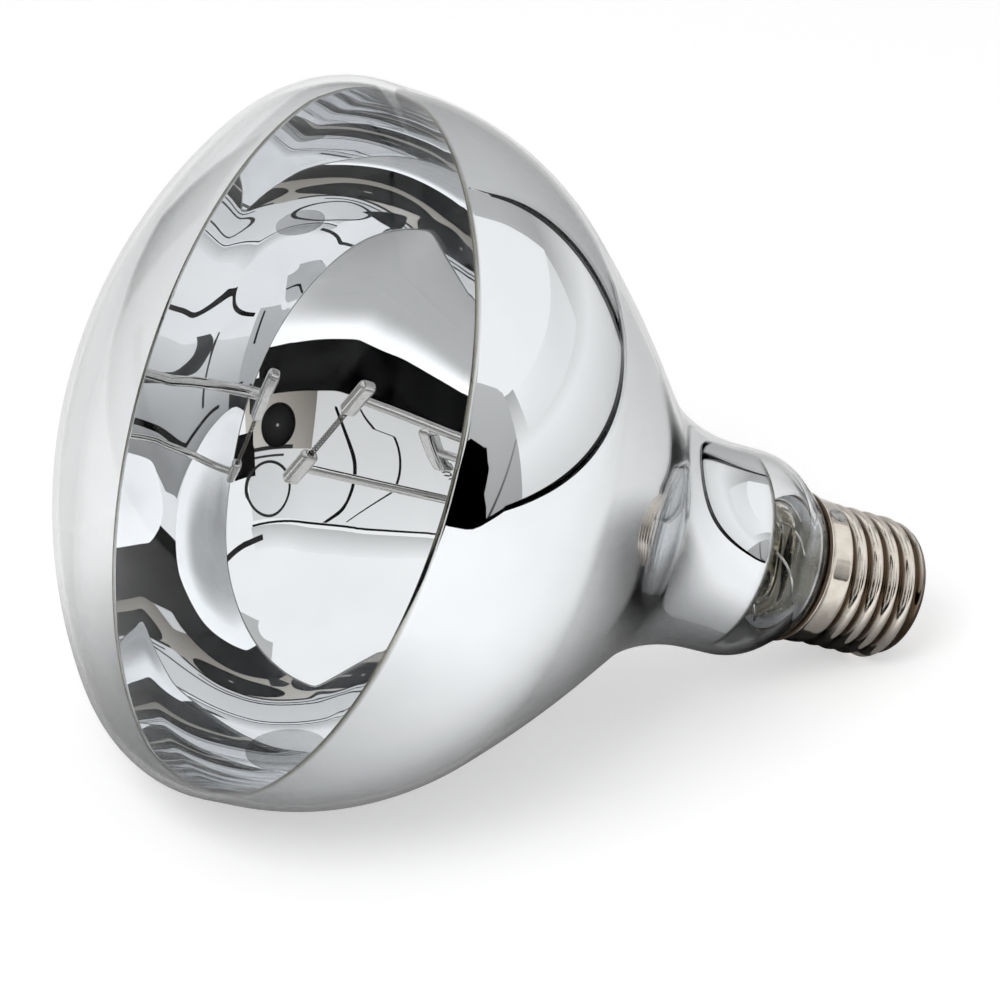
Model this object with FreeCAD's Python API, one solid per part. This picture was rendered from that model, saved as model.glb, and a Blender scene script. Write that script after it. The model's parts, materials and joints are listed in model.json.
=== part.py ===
"""Infrared heat lamp: a blown reflector bulb with a clear domed face, a mirror on the inside of its bowl,
a coiled filament between two leads that stand in a glass stem, and a screw cap with a rounded thread.
It lies on its side, resting on the bowl and on the last crest of the thread.

The lamp is modelled along its own axis and laid down at the end. On that axis, z is the distance in
millimetres from the front of the glass towards the cap, and x points at the surface that it lies on.
"""
import FreeCAD
import Part
import math
import os

Vector = FreeCAD.Vector
AXIS = Vector(0, 0, 1)
ORIGIN = Vector(0, 0, 0)

# Glass envelope, outside sizes
BULB_RADIUS = 62.6
FACE_RADIUS = 90.0
SHOULDER_RADIUS = 15.0
BAND_LENGTH = 6.0
BOWL_TURN = 36.0
CONE_TURN = 6.6
NECK_RADIUS = 19.05
NECK_LENGTH = 5.4
NECK_SHOULDER_RADIUS = 12.0
NECK_SHOULDER_TURN = 33.0
TAIL_FILLET_RADIUS = 3.0
TAIL_RADIUS = 10.2
TAIL_LENGTH = 5.0
GLASS_WALL = 1.2

# The skirt's bends, as shares of its drop from the widest ring to the neck, so that they fit any bulb
BOWL_SHARE = 1.148
CONE_SHARE = 5.74
FILLET_SHARE = 0.8266

# Mirror on the inside of the bowl
MIRROR_TAIL = 2.0
MIRROR_FILM = 0.15
MIRROR_GAP = 0.05

# Glass stem: flare, tube and press
STEM_TUBE_RADIUS = 6.6
STEM_WALL = 1.1
STEM_FLARE_RADIUS = 3.2
STEM_LENGTH = 27.0
STEM_RIM_GAP = 0.05
PRESS_LENGTH = 9.0
PRESS_WIDTH = 13.0
PRESS_THICKNESS = 5.4
SEAL_CLEARANCE = 0.02
EXHAUST_RADIUS = 1.9
EXHAUST_WALL = 0.5
EXHAUST_EMBED = 2.0
EXHAUST_TIP = 4.0

# Filament and the leads whose flattened ends hold it
FILAMENT_DISTANCE = 40.6
FILAMENT_LIFT = 2.7
FILAMENT_TURN = 29.8
FILAMENT_SPAN = 12.0
COIL_RADIUS = 0.55
COIL_GRIP = 2.0
WIRE_CLEARANCE = 0.05
LEAD_WIRE = 0.8
LEAD_SPREAD = 3.8
LEAD_EMBED = 3.0
LEAD_STRAIGHT = 8.0
LEAD_BEND = 20.0
LEAD_ROOM = 2.5
CLAMP_LENGTH = 8.0
CLAMP_WIDTH = 2.2
CLAMP_DEPTH = 3.0
CLAMP_EDGE = 0.8
OUTER_LEAD_WIRE = 0.3
OUTER_LEAD_BEND = 1.2

# Heat shield round the stem, in front of the cap
SHIELD_RADIUS = 12.6
SHIELD_THICKNESS = 0.4
SHIELD_DISH = 1.2
SHIELD_COLLAR = 2.0
SHIELD_STANDOFF = 3.6
SHIELD_CLEARANCE = 0.1

# Screw cap
CAP_OVERLAP = 10.5
CAP_SHEET = 0.3
RIM_RADIUS = 14.1
RIM_FLARE = 40.0
RIM_BEND = 1.0
COLLAR_RADIUS = 13.4
COLLAR_LENGTH = 3.2
STEP_BEND = 1.5
THREAD_CREST = 13.2
THREAD_PITCH = 3.629
THREAD_ROUNDING = 1.025
THREAD_CRESTS = 4
FOOT_BEND = 1.5
FOOT_SLOPE = 65.0
MOUTH_RADIUS = 9.4
CEMENT_GAP = 0.03
CEMENT_LENGTH = 3.0
CEMENT_BEAD = 0.5
INSULATOR_DEPTH = 2.6
INSULATOR_GAP = 0.3
INSULATOR_HEIGHT = 1.9
INSULATOR_TIP_RADIUS = 6.4
CONTACT_RADIUS = 4.9
CONTACT_THICKNESS = 0.4
CONTACT_HOLE = 0.8
SOLDER_GAP = 0.02
SOLDER_RADIUS = 2.6
SOLDER_FLAT = 1.4
SOLDER_HEIGHT = 0.7
SIDE_SOLDER_TURN = -163.0
SIDE_SOLDER_RADIUS = 2.2
SIDE_SOLDER_HEIGHT = 0.7
SIDE_WELD_DEPTH = 2.9


def polar(radius, angle, z):
    """A point at an angle in degrees round the lamp's axis."""
    turn = math.radians(angle)
    return Vector(radius * math.cos(turn), radius * math.sin(turn), z)


def spin(edges):
    """The solid that a closed outline in the x-z plane sweeps round the axis."""
    return Part.Face(Part.Wire(edges)).revolve(ORIGIN, AXIS, 360)


def lines(points):
    """Straight edges that join (radius, distance) points and close the outline."""
    places = [Vector(radius, 0, z) for radius, z in points]
    return [Part.LineSegment(a, b).toShape() for a, b in zip(places, places[1:] + places[:1])]


def rod(radius, start, end):
    """A straight round rod."""
    return Part.makeCylinder(radius, (end - start).Length, start, end - start)


def bent_rod(points, radius, bend):
    """A round wire along straight runs that are joined by tangent arcs of one radius."""
    edges = []
    start = points[0]
    for before, corner, after in zip(points, points[1:], points[2:]):
        along = (corner - before).normalize()
        onward = (after - corner).normalize()
        half_turn = along.getAngle(onward) / 2
        reach = bend * math.tan(half_turn)
        inward = (onward - along).normalize()
        middle = corner + inward * (bend / math.cos(half_turn) - bend)
        edges.append(Part.LineSegment(start, corner - along * reach).toShape())
        edges.append(Part.Arc(corner - along * reach, middle, corner + onward * reach).toShape())
        start = corner + onward * reach
    edges.append(Part.LineSegment(start, points[-1]).toShape())
    section = Part.Wire(Part.makeCircle(radius, points[0], points[1] - points[0]))
    return Part.Wire(edges).makePipeShell([section], True, False)


class Outline:
    """A smooth line of tangent arcs and runs in the x-z plane, at a depth inside the piece's skin.

    Heading 0 is along the axis towards the cap, and 90 is away from the axis.
    """

    def __init__(self, inset, start, heading):
        self.inset = inset
        self.heading = heading
        self.edges = []
        self.place = start + self.direction(heading - 90) * inset

    def direction(self, heading):
        turn = math.radians(heading)
        return Vector(math.sin(turn), 0, math.cos(turn))

    def run(self, length):
        end = self.place + self.direction(self.heading) * length
        self.edges.append(Part.LineSegment(self.place, end).toShape())
        self.place = end

    def arc(self, radius, turn):
        """An arc of the skin. A positive turn bends towards the axis, where the inset makes the arc
        smaller, and a negative turn bends away, where it makes the arc larger."""
        side = math.copysign(1, turn)
        radius = radius - side * self.inset
        centre = self.place + self.direction(self.heading - side * 90) * radius
        middle = centre + self.direction(self.heading + side * 90 - turn / 2) * radius
        end = centre + self.direction(self.heading + side * 90 - turn) * radius
        self.edges.append(Part.Arc(self.place, middle, end).toShape())
        self.place = end
        self.heading -= turn


# Where the face meets the shoulder, and where the widest ring of the glass lies
FACE_TURN = math.degrees(math.asin((BULB_RADIUS - SHOULDER_RADIUS) / (FACE_RADIUS - SHOULDER_RADIUS)))
EDGE_DISTANCE = FACE_RADIUS - (FACE_RADIUS - SHOULDER_RADIUS) * math.cos(math.radians(FACE_TURN))
BOWL_START = EDGE_DISTANCE + BAND_LENGTH


def rise(radius, first, last):
    """How far an arc comes in between two slopes."""
    return radius * (math.cos(math.radians(first)) - math.cos(math.radians(last)))


def advance(radius, first, last):
    """How far an arc goes along the axis between two slopes."""
    return radius * (math.sin(math.radians(last)) - math.sin(math.radians(first)))


# The skirt: a wide bend, a nearly straight cone and a fillet into the neck
SKIRT_DROP = BULB_RADIUS - NECK_RADIUS
BOWL_RADIUS = BOWL_SHARE * SKIRT_DROP
CONE_RADIUS = CONE_SHARE * SKIRT_DROP
FILLET_RADIUS = FILLET_SHARE * SKIRT_DROP
SLOPE = BOWL_TURN + CONE_TURN
CONE_END_RADIUS = BULB_RADIUS - rise(BOWL_RADIUS, 0, BOWL_TURN) - rise(CONE_RADIUS, BOWL_TURN, SLOPE)
FILLET_START_RADIUS = NECK_RADIUS + rise(FILLET_RADIUS, 0, SLOPE)
CONE_RUN = (CONE_END_RADIUS - FILLET_START_RADIUS) / math.sin(math.radians(SLOPE))
NECK_START = (BOWL_START + advance(BOWL_RADIUS, 0, BOWL_TURN) + advance(CONE_RADIUS, BOWL_TURN, SLOPE)
              + CONE_RUN * math.cos(math.radians(SLOPE)) + advance(FILLET_RADIUS, 0, SLOPE))
NECK_END = NECK_START + NECK_LENGTH

# The neck's rounded shoulder and the tail that the cap goes over
TAIL_DROP = (NECK_RADIUS - TAIL_RADIUS
             - rise(NECK_SHOULDER_RADIUS + TAIL_FILLET_RADIUS, 0, NECK_SHOULDER_TURN))
TAIL_RUN = TAIL_DROP / math.sin(math.radians(NECK_SHOULDER_TURN))
TAIL_START = (NECK_END + advance(NECK_SHOULDER_RADIUS + TAIL_FILLET_RADIUS, 0, NECK_SHOULDER_TURN)
              + TAIL_RUN * math.cos(math.radians(NECK_SHOULDER_TURN)))
TAIL_END = TAIL_START + TAIL_LENGTH


def glass_line(inset):
    """The wall's line at one depth in the glass, from the front of the face to the end of the tail."""
    line = Outline(inset, ORIGIN, 90.0)
    line.arc(FACE_RADIUS, FACE_TURN)
    line.arc(SHOULDER_RADIUS, 90 - FACE_TURN)
    line.run(BAND_LENGTH)
    line.arc(BOWL_RADIUS, BOWL_TURN)
    line.arc(CONE_RADIUS, CONE_TURN)
    line.run(CONE_RUN)
    line.arc(FILLET_RADIUS, -SLOPE)
    line.run(NECK_LENGTH)
    line.arc(NECK_SHOULDER_RADIUS, NECK_SHOULDER_TURN)
    line.run(TAIL_RUN)
    line.arc(TAIL_FILLET_RADIUS, -NECK_SHOULDER_TURN)
    line.run(TAIL_LENGTH)
    return line


def filled_glass(inset):
    """The solid that the wall's line encloses at one depth, closed across the tail."""
    line = glass_line(inset)
    end = Vector(0, 0, line.place.z)
    edges = line.edges + [Part.LineSegment(line.place, end).toShape(),
                          Part.LineSegment(end, Vector(0, 0, inset)).toShape()]
    return spin(edges)


def glass_envelope():
    return filled_glass(0).cut(filled_glass(GLASS_WALL))


def reflector_coating():
    """The film of metal on the bowl's inner wall, from the widest ring to the start of the neck."""
    outside = GLASS_WALL + MIRROR_GAP
    stretch = rod(BULB_RADIUS, Vector(0, 0, EDGE_DISTANCE), Vector(0, 0, NECK_START + MIRROR_TAIL))
    film = filled_glass(outside).cut(filled_glass(outside + MIRROR_FILM))
    return film.common(stretch)


PRESS_TOP = TAIL_END - STEM_LENGTH
PRESS_BASE = PRESS_TOP + PRESS_LENGTH


def stem_flare():
    """The tube that closes the bulb: its flared rim is fused into the tail, and its other end is pressed
    flat round the leads."""
    rim = TAIL_RADIUS - GLASS_WALL - STEM_RIM_GAP
    inner = STEM_TUBE_RADIUS - STEM_WALL
    flare_start = TAIL_END - STEM_FLARE_RADIUS - STEM_WALL
    bore_curve = STEM_FLARE_RADIUS + STEM_WALL
    low = math.sqrt(0.5)

    def bell(radius, curve, z_end):
        centre = Vector(radius + curve, 0, flare_start)
        middle = centre + Vector(-low, 0, low) * curve
        return Part.Arc(Vector(radius, 0, flare_start), middle, Vector(centre.x, 0, z_end)).toShape()

    corners = [Vector(inner, 0, PRESS_BASE), Vector(STEM_TUBE_RADIUS, 0, PRESS_BASE),
               Vector(STEM_TUBE_RADIUS, 0, flare_start)]
    outer_bend = bell(STEM_TUBE_RADIUS, rim - STEM_TUBE_RADIUS, flare_start + rim - STEM_TUBE_RADIUS)
    outer_end = outer_bend.Vertexes[-1].Point
    inner_bend = bell(inner, bore_curve, flare_start + bore_curve)
    inner_end = Vector(inner + bore_curve, 0, TAIL_END)
    tube = spin([Part.LineSegment(corners[0], corners[1]).toShape(),
                 Part.LineSegment(corners[1], corners[2]).toShape(),
                 outer_bend,
                 Part.LineSegment(outer_end, Vector(rim, 0, TAIL_END)).toShape(),
                 Part.LineSegment(Vector(rim, 0, TAIL_END), inner_end).toShape(),
                 inner_bend,
                 Part.LineSegment(inner_bend.Vertexes[0].Point, corners[0]).toShape()])
    return tube.fuse(press()).removeSplitter().cut(sealed_wires())


def press():
    """The pressed end: round where it meets the tube, and flat at its top."""
    round_end = Part.Wire(Part.makeCircle(STEM_TUBE_RADIUS, Vector(0, 0, PRESS_BASE)))
    flat_end = Part.Wire(Part.Ellipse(Vector(0, 0, PRESS_TOP), PRESS_WIDTH / 2,
                                      PRESS_THICKNESS / 2).toShape())
    block = Part.makeLoft([round_end, flat_end], True)
    block.rotate(ORIGIN, AXIS, FILAMENT_TURN)
    return block


# The leads and the filament lie in one plane through the axis
LEAD_ANGLES = {"lead_wire_front": FILAMENT_TURN, "lead_wire_back": FILAMENT_TURN + 180}


def beside_filament(angle, reach):
    """A point on the filament's line, at a distance from its middle towards one of the leads."""
    return Vector(-FILAMENT_LIFT, 0, 0) + polar(reach, angle, FILAMENT_DISTANCE)


def coil(radius, reach):
    """A straight rod along the filament, the same distance to both sides of its middle."""
    return rod(radius, beside_filament(FILAMENT_TURN + 180, reach), beside_filament(FILAMENT_TURN, reach))


def filament():
    """The coil's outer shape, from inside one clamp to inside the other."""
    return coil(COIL_RADIUS, FILAMENT_SPAN / 2 + COIL_GRIP)


def lead_wire(angle):
    """A thick nickel lead: straight up from the press, then leaning out to the flattened end that is
    folded round the coil."""
    clamp_middle = beside_filament(angle, (FILAMENT_SPAN + CLAMP_LENGTH) / 2)
    wire = bent_rod([polar(LEAD_SPREAD, angle, PRESS_TOP + LEAD_EMBED),
                     polar(LEAD_SPREAD, angle, PRESS_TOP - LEAD_STRAIGHT), clamp_middle],
                    LEAD_WIRE, LEAD_BEND)
    room = coil(COIL_RADIUS + WIRE_CLEARANCE, FILAMENT_SPAN / 2 + COIL_GRIP + WIRE_CLEARANCE)
    return wire.fuse(clamp(clamp_middle)).removeSplitter().cut(room)


def clamp(middle):
    """The flattened end of a lead, as a rounded tab that lies along the coil."""
    tab = Part.makeBox(CLAMP_LENGTH, CLAMP_WIDTH, CLAMP_DEPTH,
                       Vector(-CLAMP_LENGTH, -CLAMP_WIDTH, -CLAMP_DEPTH) / 2)
    tab = tab.makeFillet(CLAMP_EDGE, tab.Edges)
    tab.rotate(ORIGIN, AXIS, FILAMENT_TURN)
    tab.translate(middle)
    return tab


def sealed_wires():
    """What the press closes round: both leads, both outer leads and the exhaust tube."""
    room = []
    for angle in LEAD_ANGLES.values():
        top = polar(LEAD_SPREAD, angle, PRESS_TOP)
        room.append(rod(LEAD_WIRE + SEAL_CLEARANCE, top, polar(LEAD_SPREAD, angle, PRESS_TOP + LEAD_EMBED)))
        room.append(rod(OUTER_LEAD_WIRE + SEAL_CLEARANCE, top, polar(LEAD_SPREAD, angle, PRESS_BASE)))
    room.append(rod(EXHAUST_RADIUS + SEAL_CLEARANCE, Vector(0, 0, PRESS_BASE - EXHAUST_EMBED),
                    Vector(0, 0, PRESS_BASE)))
    return Part.makeCompound(room)


def exhaust_tube():
    """The thin tube through which the bulb was pumped, closed by melting inside the cap."""
    top = PRESS_BASE - EXHAUST_EMBED
    end = TAIL_END - EXHAUST_TIP
    tube = rod(EXHAUST_RADIUS, Vector(0, 0, top), Vector(0, 0, end))
    tube = tube.fuse(Part.makeSphere(EXHAUST_RADIUS, Vector(0, 0, end))).removeSplitter()
    bore = rod(EXHAUST_RADIUS - EXHAUST_WALL, Vector(0, 0, top), Vector(0, 0, end))
    return tube.cut(bore)


def heat_shield():
    """A dished metal disc on the stem's tube, which keeps the filament's heat from the cap."""
    hole = STEM_TUBE_RADIUS + SHIELD_CLEARANCE
    collar = hole + SHIELD_THICKNESS
    front = PRESS_BASE + SHIELD_STANDOFF
    back = front + SHIELD_THICKNESS
    return spin(lines([(hole, front), (collar, front), (SHIELD_RADIUS, front + SHIELD_DISH),
                       (SHIELD_RADIUS, back + SHIELD_DISH), (collar, back),
                       (collar, front + SHIELD_COLLAR), (hole, front + SHIELD_COLLAR)]))


CAP_RIM = TAIL_END - CAP_OVERLAP
THREAD_TURN = math.degrees(math.asin(THREAD_PITCH / 4 / THREAD_ROUNDING))
THREAD_DEPTH = 2 * rise(THREAD_ROUNDING, 0, THREAD_TURN)
THREAD_ROOT = THREAD_CREST - THREAD_DEPTH
FOOT_DROP = THREAD_ROOT - rise(FOOT_BEND, 0, FOOT_SLOPE) - MOUTH_RADIUS


def collar_line(inset, length):
    """The flared rim and a length of the collar behind it."""
    line = Outline(inset, Vector(RIM_RADIUS, 0, CAP_RIM), -RIM_FLARE)
    line.run((RIM_RADIUS - COLLAR_RADIUS - rise(RIM_BEND, 0, RIM_FLARE)) / math.sin(math.radians(RIM_FLARE)))
    line.arc(RIM_BEND, -RIM_FLARE)
    line.run(length)
    return line


def shell_line(inset):
    """The drawn sheet's line: the rim and collar, the rounded thread and the foot's slope."""
    line = collar_line(inset, COLLAR_LENGTH)
    step_turn = math.degrees(math.acos(1 - (COLLAR_RADIUS - THREAD_CREST) / (2 * STEP_BEND)))
    line.arc(STEP_BEND, step_turn)
    line.arc(STEP_BEND, -step_turn)
    line.arc(THREAD_ROUNDING, THREAD_TURN)
    for _ in range(THREAD_CRESTS):
        line.arc(THREAD_ROUNDING, -2 * THREAD_TURN)
        line.arc(THREAD_ROUNDING, 2 * THREAD_TURN)
    line.arc(THREAD_ROUNDING, -THREAD_TURN)
    line.arc(FOOT_BEND, FOOT_SLOPE)
    line.run(FOOT_DROP / math.sin(math.radians(FOOT_SLOPE)))
    return line


# Down the cap: the last crest, the end of the thread, the shell's mouth, and the foot's two faces
SHELL_END = shell_line(0).place.z
THREAD_END = SHELL_END - advance(FOOT_BEND, 0, FOOT_SLOPE) - FOOT_DROP / math.tan(math.radians(FOOT_SLOPE))
LAST_CREST = THREAD_END - THREAD_PITCH / 2
INSULATOR_FACE = SHELL_END + INSULATOR_HEIGHT
CONTACT_FACE = INSULATOR_FACE + CONTACT_THICKNESS
SOLDER_FACE = CONTACT_FACE + SOLDER_HEIGHT


def screw_shell():
    """The cap's drawn sheet."""
    outer = shell_line(0)
    inner = shell_line(CAP_SHEET)
    closing = [Part.LineSegment(one.Vertexes[end].Point, other.Vertexes[end].Point).toShape()
               for one, other, end in ((outer.edges[0], inner.edges[0], 0),
                                       (outer.edges[-1], inner.edges[-1], -1))]
    return spin(Part.__sortEdges__(outer.edges + inner.edges + closing))


# The thin outer leads start where the thick leads end in the press, and the side lead runs midway
# between the tail and the thread's root
OUTER_LEAD_START = PRESS_TOP + LEAD_EMBED + SEAL_CLEARANCE
SIDE_LEAD_RADIUS = (TAIL_RADIUS + THREAD_ROOT - CAP_SHEET) / 2
SIDE_WELD_DISTANCE = CAP_RIM + SIDE_WELD_DEPTH


def side_lead_end():
    """The last run of the side lead, at half a right angle from beside the tail to the collar's wall."""
    reach = COLLAR_RADIUS - CAP_SHEET - OUTER_LEAD_WIRE - WIRE_CLEARANCE
    return (polar(SIDE_LEAD_RADIUS, SIDE_SOLDER_TURN, SIDE_WELD_DISTANCE + reach - SIDE_LEAD_RADIUS),
            polar(reach, SIDE_SOLDER_TURN, SIDE_WELD_DISTANCE))


def side_lead_room():
    """The groove that the side lead leaves in the cement."""
    start, end = side_lead_end()
    beyond = (end - start).normalize() * OUTER_LEAD_WIRE * 2
    return rod(OUTER_LEAD_WIRE + WIRE_CLEARANCE, start, end + beyond)


def side_lead():
    """From the press down through the stem, round the tail's end and out through the collar."""
    angle = LEAD_ANGLES["lead_wire_back"]
    below = TAIL_END + LEAD_ROOM
    start, end = side_lead_end()
    return bent_rod([polar(LEAD_SPREAD, angle, OUTER_LEAD_START), polar(LEAD_SPREAD, angle, below),
                     polar(SIDE_LEAD_RADIUS, SIDE_SOLDER_TURN, below), start, end],
                    OUTER_LEAD_WIRE, OUTER_LEAD_BEND)


def centre_lead():
    """From the press down through the stem and the insulator to the centre contact."""
    angle = LEAD_ANGLES["lead_wire_front"]
    return bent_rod([polar(LEAD_SPREAD, angle, OUTER_LEAD_START),
                     polar(LEAD_SPREAD, angle, TAIL_END + LEAD_ROOM),
                     Vector(0, 0, SHELL_END - INSULATOR_DEPTH - LEAD_ROOM),
                     Vector(0, 0, (CONTACT_FACE + SOLDER_FACE) / 2)],
                    OUTER_LEAD_WIRE, OUTER_LEAD_BEND)


def cement():
    """The dark cement between the glass and the collar, with a bead in front of the rim."""
    line = collar_line(CAP_SHEET + CEMENT_GAP, CEMENT_LENGTH)
    rim = line.edges[0].Vertexes[0].Point
    corners = [line.place, Vector(0, 0, line.place.z), Vector(0, 0, CAP_RIM - CEMENT_BEAD),
               Vector(rim.x, 0, CAP_RIM - CEMENT_BEAD), rim]
    edges = line.edges + [Part.LineSegment(a, b).toShape() for a, b in zip(corners, corners[1:])]
    return spin(edges).cut(filled_glass(-CEMENT_GAP)).cut(side_lead_room())


def insulator():
    """The black glass that closes the shell's foot and carries the centre contact."""
    inside = THREAD_ROOT - CAP_SHEET - INSULATOR_GAP
    mouth = MOUTH_RADIUS - CAP_SHEET - INSULATOR_GAP
    block = spin(lines([(0, THREAD_END - INSULATOR_DEPTH), (inside, THREAD_END - INSULATOR_DEPTH),
                        (inside, THREAD_END), (mouth, SHELL_END), (INSULATOR_TIP_RADIUS, INSULATOR_FACE),
                        (0, INSULATOR_FACE)]))
    hole = rod(OUTER_LEAD_WIRE + WIRE_CLEARANCE, Vector(0, 0, THREAD_END - INSULATOR_DEPTH),
               Vector(0, 0, INSULATOR_FACE))
    return block.cut(hole)


def centre_contact():
    """A brass disc with a hole for its lead."""
    return spin(lines([(CONTACT_HOLE, INSULATOR_FACE), (CONTACT_RADIUS, INSULATOR_FACE),
                       (CONTACT_RADIUS, CONTACT_FACE), (CONTACT_HOLE, CONTACT_FACE)]))


def centre_solder():
    """The solder that fills the contact's hole round the lead and stands on it, flat on top."""
    plug = CONTACT_HOLE - SOLDER_GAP
    slope = SOLDER_RADIUS - SOLDER_FLAT
    bend = (slope ** 2 + SOLDER_HEIGHT ** 2) / (2 * SOLDER_HEIGHT)
    half = math.asin(slope / bend) / 2
    rim = Vector(SOLDER_FLAT, 0, SOLDER_FACE)
    middle = rim + Vector(math.sin(half), 0, math.cos(half) - 1) * bend
    edge = Vector(SOLDER_RADIUS, 0, CONTACT_FACE)
    corners = [edge, Vector(plug, 0, CONTACT_FACE), Vector(plug, 0, INSULATOR_FACE),
               Vector(0, 0, INSULATOR_FACE), Vector(0, 0, SOLDER_FACE), rim]
    whole = spin([Part.Arc(rim, middle, edge).toShape()]
                 + [Part.LineSegment(a, b).toShape() for a, b in zip(corners, corners[1:])])
    return whole.cut(rod(OUTER_LEAD_WIRE + SOLDER_GAP, Vector(0, 0, INSULATOR_FACE),
                         Vector(0, 0, (CONTACT_FACE + SOLDER_FACE) / 2)))


def side_solder():
    """The weld on the collar's outside, where the side lead meets its wall."""
    reach = COLLAR_RADIUS + SIDE_SOLDER_HEIGHT - SIDE_SOLDER_RADIUS
    collar = rod(COLLAR_RADIUS + SOLDER_GAP, Vector(0, 0, SIDE_WELD_DISTANCE - SIDE_SOLDER_RADIUS),
                 Vector(0, 0, SIDE_WELD_DISTANCE + SIDE_SOLDER_RADIUS))
    return Part.makeSphere(SIDE_SOLDER_RADIUS, polar(reach, SIDE_SOLDER_TURN, SIDE_WELD_DISTANCE)).cut(collar)


def laid_down(shapes):
    """Copies of all pieces, lying on the bowl and the last crest of the thread.

    In the plane of the axis, the surface is the common tangent of the bowl's arc and of the crest's. The
    origin is on that surface, below the middle of the lamp.
    """
    across = (THREAD_CREST - THREAD_ROUNDING) - (BULB_RADIUS - BOWL_RADIUS)
    along = LAST_CREST - BOWL_START
    tilt = (math.asin((BOWL_RADIUS - THREAD_ROUNDING) / math.hypot(across, along))
            - math.atan2(across, along))
    height = (BULB_RADIUS - BOWL_RADIUS) * math.cos(tilt) + BOWL_START * math.sin(tilt) + BOWL_RADIUS
    turn = FreeCAD.Rotation(Vector(0, 1, 0), 90 + math.degrees(tilt))
    front = FACE_RADIUS * math.cos(tilt) - FACE_RADIUS
    edges = ((MOUTH_RADIUS, SHELL_END), (INSULATOR_TIP_RADIUS, INSULATOR_FACE),
             (CONTACT_RADIUS, CONTACT_FACE), (SOLDER_FLAT, SOLDER_FACE))
    back = max(radius * math.sin(tilt) + z * math.cos(tilt) for radius, z in edges)
    place = FreeCAD.Placement(Vector(-(front + back) / 2, 0, height), turn)
    return {name: shape.transformed(place.Matrix) for name, shape in shapes.items()}


def all_pieces():
    return {
        "glass_envelope": glass_envelope(),
        "reflector_coating": reflector_coating(),
        "stem_flare": stem_flare(),
        "exhaust_tube": exhaust_tube(),
        "filament": filament(),
        "lead_wire_front": lead_wire(LEAD_ANGLES["lead_wire_front"]),
        "lead_wire_back": lead_wire(LEAD_ANGLES["lead_wire_back"]),
        "side_lead": side_lead(),
        "centre_lead": centre_lead(),
        "heat_shield": heat_shield(),
        "screw_shell": screw_shell(),
        "cap_cement": cement(),
        "insulator": insulator(),
        "centre_contact": centre_contact(),
        "centre_solder": centre_solder(),
        "side_solder": side_solder(),
    }


pieces = laid_down(all_pieces())
os.makedirs("parts", exist_ok=True)
for name, shape in pieces.items():
    solid, = shape.Solids
    print(f"{name}: {solid.Volume:.2f} mm3, valid {solid.isValid()}")
    solid.exportStep(f"parts/{name}.step")
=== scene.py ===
"""Infrared heat lamp bulb lying on its side on a white table, seen from its front quarter.

The blown glass, the mirror on its inner wall, the filament's turns and the cap's helical thread are made
here at full detail, each in the place of its CAD node. Folds of glass and soft wires are added round the
foot of the stem. The other CAD nodes stay and get their finish.
"""
import json
import math

import bpy
import numpy as np
from mathutils import Matrix, Vector, noise


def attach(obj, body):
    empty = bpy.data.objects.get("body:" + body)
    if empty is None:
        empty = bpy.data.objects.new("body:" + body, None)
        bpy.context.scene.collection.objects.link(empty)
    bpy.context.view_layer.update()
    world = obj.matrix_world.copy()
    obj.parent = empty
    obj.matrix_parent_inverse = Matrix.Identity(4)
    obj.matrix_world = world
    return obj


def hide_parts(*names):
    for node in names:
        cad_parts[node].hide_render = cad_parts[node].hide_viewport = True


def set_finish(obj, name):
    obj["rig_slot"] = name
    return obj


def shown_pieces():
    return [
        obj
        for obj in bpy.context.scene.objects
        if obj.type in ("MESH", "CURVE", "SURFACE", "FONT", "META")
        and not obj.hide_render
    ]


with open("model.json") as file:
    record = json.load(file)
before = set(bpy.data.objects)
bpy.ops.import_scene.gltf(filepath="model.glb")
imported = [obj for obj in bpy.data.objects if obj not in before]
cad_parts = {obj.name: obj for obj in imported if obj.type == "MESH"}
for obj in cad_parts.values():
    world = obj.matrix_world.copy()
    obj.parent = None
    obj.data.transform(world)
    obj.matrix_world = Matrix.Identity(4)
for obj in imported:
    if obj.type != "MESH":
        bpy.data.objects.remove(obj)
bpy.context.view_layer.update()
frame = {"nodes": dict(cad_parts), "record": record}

# The bulb's sizes in millimetres, as in the CAD source. Distances are from the front of the glass.
BULB_RADIUS = 62.6
FACE_RADIUS = 90.0
SHOULDER_RADIUS = 15.0
BAND_LENGTH = 6.0
BOWL_SHARE = 1.148
BOWL_TURN = 36.0
CONE_SHARE = 5.74
CONE_TURN = 6.6
FILLET_SHARE = 0.8266
NECK_RADIUS = 19.05
NECK_LENGTH = 5.4
NECK_SHOULDER_RADIUS = 12.0
NECK_SHOULDER_TURN = 33.0
TAIL_FILLET_RADIUS = 3.0
TAIL_RADIUS = 10.2
TAIL_LENGTH = 5.0
GLASS_WALL = 1.2
MIRROR_FILM = 0.15
MIRROR_GAP = 0.05
MIRROR_TAIL = 2.0

# The filament, as in the CAD source, and the wire that its turns are wound from
FILAMENT_DISTANCE = 40.6
FILAMENT_LIFT = 2.7
FILAMENT_TURN = 29.8
FILAMENT_SPAN = 12.0
COIL_RADIUS = 0.55
COIL_GRIP = 2.0
COIL_WIRE_RADIUS = 0.12
COIL_PITCH = 0.72
COIL_WIRE_SIDES = 6

# The cap, as in the CAD source
CAP_OVERLAP = 10.5
CAP_SHEET = 0.3
RIM_RADIUS = 14.1
RIM_FLARE = 40.0
RIM_BEND = 1.0
COLLAR_RADIUS = 13.4
COLLAR_LENGTH = 3.2
THREAD_CREST = 13.2
THREAD_PITCH = 3.629
THREAD_ROUNDING = 1.025
THREAD_CRESTS = 4
STEP_BEND = 1.5
FOOT_BEND = 1.5
FOOT_SLOPE = 65.0
MOUTH_RADIUS = 9.4

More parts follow.
